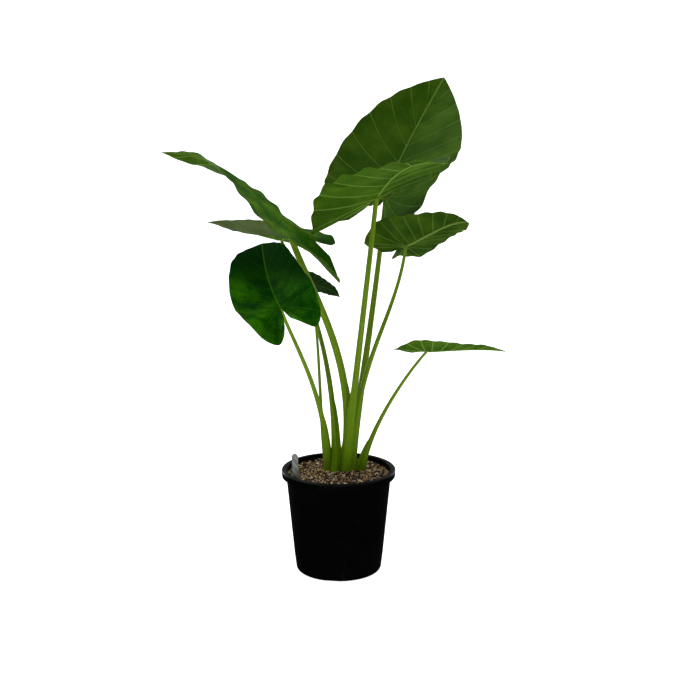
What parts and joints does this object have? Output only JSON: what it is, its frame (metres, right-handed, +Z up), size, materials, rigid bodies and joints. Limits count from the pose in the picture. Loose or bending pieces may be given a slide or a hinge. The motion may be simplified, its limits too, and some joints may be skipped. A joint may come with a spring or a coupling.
{
  "type": "potted giant taro",
  "caption": "Upright aroid house plant with waved arrow-shaped leaves on sheathed stalks, standing in a black nursery pot with a rolled lip.",
  "frame": {"origin": "centre of the pot's underside, on the pot's axis", "axes": "+Z up along the pot's axis, which is the part's longest extent; -Y is the side the picture shows"},
  "size_m": [0.7426, 0.8382, 1.106],
  "materials": {
    "pot": "satin",
    "soil": "matte",
    "corm": "matte",
    "label": "satin",
    "stalk": "satin",
    "leaf": "satin"
  },
  "bodies": {
    "root": {"pot": "pot", "soil": "soil", "corm": "corm", "label": "label", "stalk_a": "stalk", "stalk_b": "stalk", "stalk_c": "stalk", "stalk_d": "stalk", "stalk_e": "stalk", "stalk_f": "stalk", "stalk_g": "stalk", "stalk_h": "stalk", "leaf_a": "leaf", "leaf_b": "leaf", "leaf_c": "leaf", "leaf_d": "leaf", "leaf_e": "leaf", "leaf_f": "leaf", "leaf_g": "leaf", "leaf_h": "leaf"}
  },
  "joints": []
}
